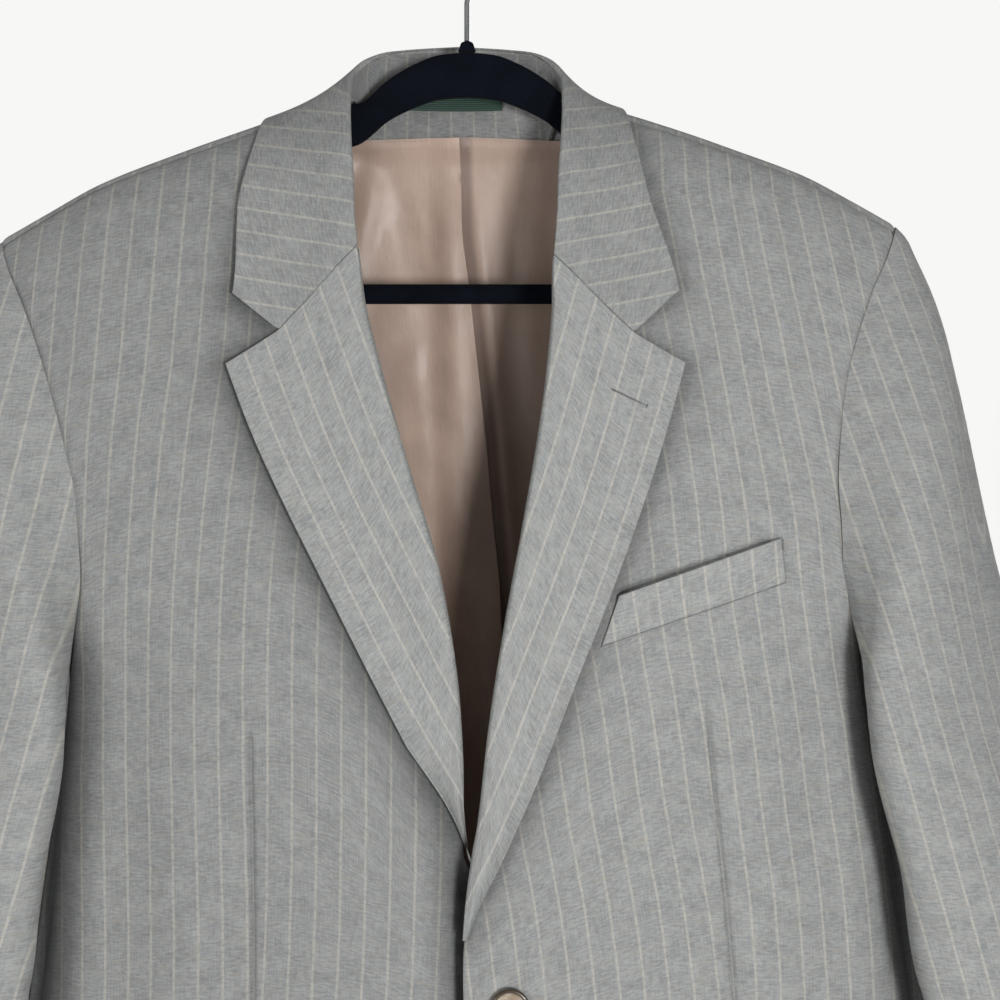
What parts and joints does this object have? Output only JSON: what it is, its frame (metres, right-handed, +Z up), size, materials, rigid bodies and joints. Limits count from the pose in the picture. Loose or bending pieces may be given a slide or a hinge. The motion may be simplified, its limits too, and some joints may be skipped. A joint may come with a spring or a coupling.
{
  "type": "single-breasted blazer on a hanger",
  "caption": "Single-breasted notch-lapel blazer in grey pinstripe wool, with a welt breast pocket and hip pocket flaps, on a slim flocked hanger with a wire hook.",
  "frame": {"origin": "the point inside the top of the hanger's hook that rests on its rod", "axes": "+Z up, -Y the way the front of the blazer faces, +X toward the wearer's left"},
  "size_m": [0.7792, 0.1258, 0.8911],
  "materials": {
    "wool": "grey worsted wool with fine cream pinstripes",
    "lining": "smooth mauve-tan lining with a soft sheen",
    "label": "plain dark green woven strip",
    "button": "polished horn colour",
    "flock": "black flocked",
    "wire": "bright plated wire"
  },
  "bodies": {
    "root": {"front_over": "wool", "front_under": "wool", "back_left": "wool", "back_right": "wool", "side_left": "wool", "side_right": "wool", "sleeve_top_left": "wool", "sleeve_top_right": "wool", "sleeve_under_left": "wool", "sleeve_under_right": "wool", "lapel_over": "wool", "lapel_under": "wool", "collar_fall": "wool", "collar_stand": "wool", "breast_welt": "wool", "pocket_flap_left": "wool", "pocket_flap_right": "wool", "lining_back_left": "lining", "lining_back_right": "lining", "neck_label": "label", "button_upper": "button", "button_lower": "button", "hanger_arms": "flock", "hanger_bar": "flock", "hanger_nub": "flock", "hanger_hook": "wire"}
  },
  "joints": []
}
